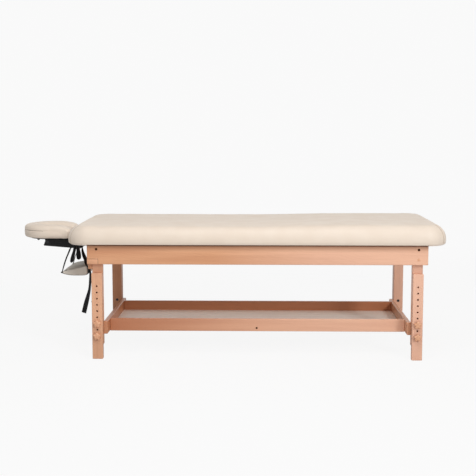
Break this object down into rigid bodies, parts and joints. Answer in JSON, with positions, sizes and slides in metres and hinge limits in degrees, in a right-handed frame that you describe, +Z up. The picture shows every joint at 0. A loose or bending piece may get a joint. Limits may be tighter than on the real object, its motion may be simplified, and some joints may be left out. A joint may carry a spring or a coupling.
{
  "type": "massage table",
  "caption": "Wooden massage table with a padded top, sliding split legs set by bolts, a shelf tray, a horseshoe headrest and an arm sling.",
  "frame": {"origin": "centre of the whole table's footprint, on the floor", "axes": "+Z up, +X along the table from the head end to the foot end, -Y the long side that faces the viewer in the picture"},
  "size_m": [2.0864, 0.7566, 0.6407],
  "materials": {
    "beech": "clear satin lacquer",
    "beech_hidden": "oiled",
    "plywood": "raw sanded",
    "cream_vinyl": "soft matt upholstery vinyl",
    "grey_vinyl": "matt upholstery vinyl",
    "black_plastic": "moulded, fine grain",
    "black_steel": "powder coat",
    "steel": "zinc plated",
    "black_webbing": "woven webbing"
  },
  "bodies": {
    "table": {"apron_front": "beech", "apron_back": "beech", "apron_head": "beech", "apron_foot": "beech", "deck_batten_1": "beech_hidden", "deck_batten_2": "beech_hidden", "deck_batten_3": "beech_hidden", "deck_board": "plywood", "table_cushion": "cream_vinyl", "cross_rail_head": "beech", "cross_rail_foot": "beech", "tray_board_front": "beech", "tray_board_back": "beech", "tray_floor": "plywood", "post_socket_front": "black_plastic", "post_socket_back": "black_plastic", "upper_leg_head_front": "beech", "upper_leg_head_back": "beech", "upper_leg_foot_front": "beech", "upper_leg_foot_back": "beech"},
    "lower_leg_head_front": {"lower_leg_head_front": "beech"},
    "lower_leg_head_back": {"lower_leg_head_back": "beech"},
    "lower_leg_foot_front": {"lower_leg_foot_front": "beech"},
    "lower_leg_foot_back": {"lower_leg_foot_back": "beech"},
    "knob_head_front_1": {"leg_knob_head_front_1": "beech", "leg_bolt_head_front_1": "steel"},
    "knob_head_front_3": {"leg_knob_head_front_3": "beech", "leg_bolt_head_front_3": "steel"},
    "knob_head_back_1": {"leg_knob_head_back_1": "beech", "leg_bolt_head_back_1": "steel"},
    "knob_head_back_3": {"leg_knob_head_back_3": "beech", "leg_bolt_head_back_3": "steel"},
    "knob_foot_front_1": {"leg_knob_foot_front_1": "beech", "leg_bolt_foot_front_1": "steel"},
    "knob_foot_front_3": {"leg_knob_foot_front_3": "beech", "leg_bolt_foot_front_3": "steel"},
    "knob_foot_back_1": {"leg_knob_foot_back_1": "beech", "leg_bolt_foot_back_1": "steel"},
    "knob_foot_back_3": {"leg_knob_foot_back_3": "beech", "leg_bolt_foot_back_3": "steel"},
    "headrest_base": {"headrest_crossbar": "black_plastic", "headrest_hinge_rod": "steel", "headrest_post_front": "black_steel", "headrest_post_back": "black_steel", "sling_pad": "grey_vinyl", "sling_strap_front": "black_webbing", "sling_strap_back": "black_webbing", "strap_buckle_front": "black_plastic", "strap_buckle_back": "black_plastic", "strap_end_front": "black_webbing", "strap_end_back": "black_webbing"},
    "headrest_arms": {"headrest_arm_front": "black_plastic", "headrest_arm_back": "black_plastic", "arm_spacer": "black_steel", "tilt_pin_front": "steel", "tilt_pin_back": "steel"},
    "face_rest": {"face_platform": "black_plastic", "face_cushion": "cream_vinyl"},
    "arm_lever": {"arm_lever": "black_plastic"},
    "post_lever": {"post_lever": "black_plastic"}
  },
  "joints": [
    {"name": "leg_head_front_height", "type": "slide", "parent": "table", "child": "lower_leg_head_front", "axis": [0, 0, -1], "range_m": [0, 0.18]},
    {"name": "leg_head_back_height", "type": "slide", "parent": "table", "child": "lower_leg_head_back", "axis": [0, 0, -1], "range_m": [0, 0.18]},
    {"name": "leg_foot_front_height", "type": "slide", "parent": "table", "child": "lower_leg_foot_front", "axis": [0, 0, -1], "range_m": [0, 0.18]},
    {"name": "leg_foot_back_height", "type": "slide", "parent": "table", "child": "lower_leg_foot_back", "axis": [0, 0, -1], "range_m": [0, 0.18]},
    {"name": "knob_head_front_1_turn", "type": "hinge", "parent": "table", "child": "knob_head_front_1", "pos_m": [-0.62325, -0.36, 0.112], "axis": [0, 1, 0], "continuous": true},
    {"name": "knob_head_front_3_turn", "type": "hinge", "parent": "table", "child": "knob_head_front_3", "pos_m": [-0.62325, -0.36, 0.172], "axis": [0, 1, 0], "continuous": true},
    {"name": "knob_head_back_1_turn", "type": "hinge", "parent": "table", "child": "knob_head_back_1", "pos_m": [-0.62325, 0.36, 0.112], "axis": [0, 1, 0], "continuous": true},
    {"name": "knob_head_back_3_turn", "type": "hinge", "parent": "table", "child": "knob_head_back_3", "pos_m": [-0.62325, 0.36, 0.172], "axis": [0, 1, 0], "continuous": true},
    {"name": "knob_foot_front_1_turn", "type": "hinge", "parent": "table", "child": "knob_foot_front_1", "pos_m": [0.89775, -0.36, 0.112], "axis": [0, 1, 0], "continuous": true},
    {"name": "knob_foot_front_3_turn", "type": "hinge", "parent": "table", "child": "knob_foot_front_3", "pos_m": [0.89775, -0.36, 0.172], "axis": [0, 1, 0], "continuous": true},
    {"name": "knob_foot_back_1_turn", "type": "hinge", "parent": "table", "child": "knob_foot_back_1", "pos_m": [0.89775, 0.36, 0.112], "axis": [0, 1, 0], "continuous": true},
    {"name": "knob_foot_back_3_turn", "type": "hinge", "parent": "table", "child": "knob_foot_back_3", "pos_m": [0.89775, 0.36, 0.172], "axis": [0, 1, 0], "continuous": true},
    {"name": "headrest_posts_slide", "type": "slide", "parent": "table", "child": "headrest_base", "axis": [-1, 0, 0], "range_m": [0, 0.1]},
    {"name": "headrest_arms_hinge", "type": "hinge", "parent": "headrest_base", "child": "headrest_arms", "pos_m": [-0.76475, 0, 0.525], "axis": [0, 1, 0], "range_deg": [-25, 6]},
    {"name": "face_rest_tilt", "type": "hinge", "parent": "headrest_arms", "child": "face_rest", "pos_m": [-0.90775, 0, 0.5325], "axis": [0, 1, 0], "range_deg": [-25, 0]},
    {"name": "arm_lever_turn", "type": "hinge", "parent": "headrest_arms", "child": "arm_lever", "pos_m": [-0.76475, 0, 0.525], "axis": [0, 1, 0], "range_deg": [0, 75]},
    {"name": "post_lever_turn", "type": "hinge", "parent": "headrest_base", "child": "post_lever", "pos_m": [-0.76475, 0, 0.525], "axis": [0, 1, 0], "range_deg": [0, 55]}
  ]
}
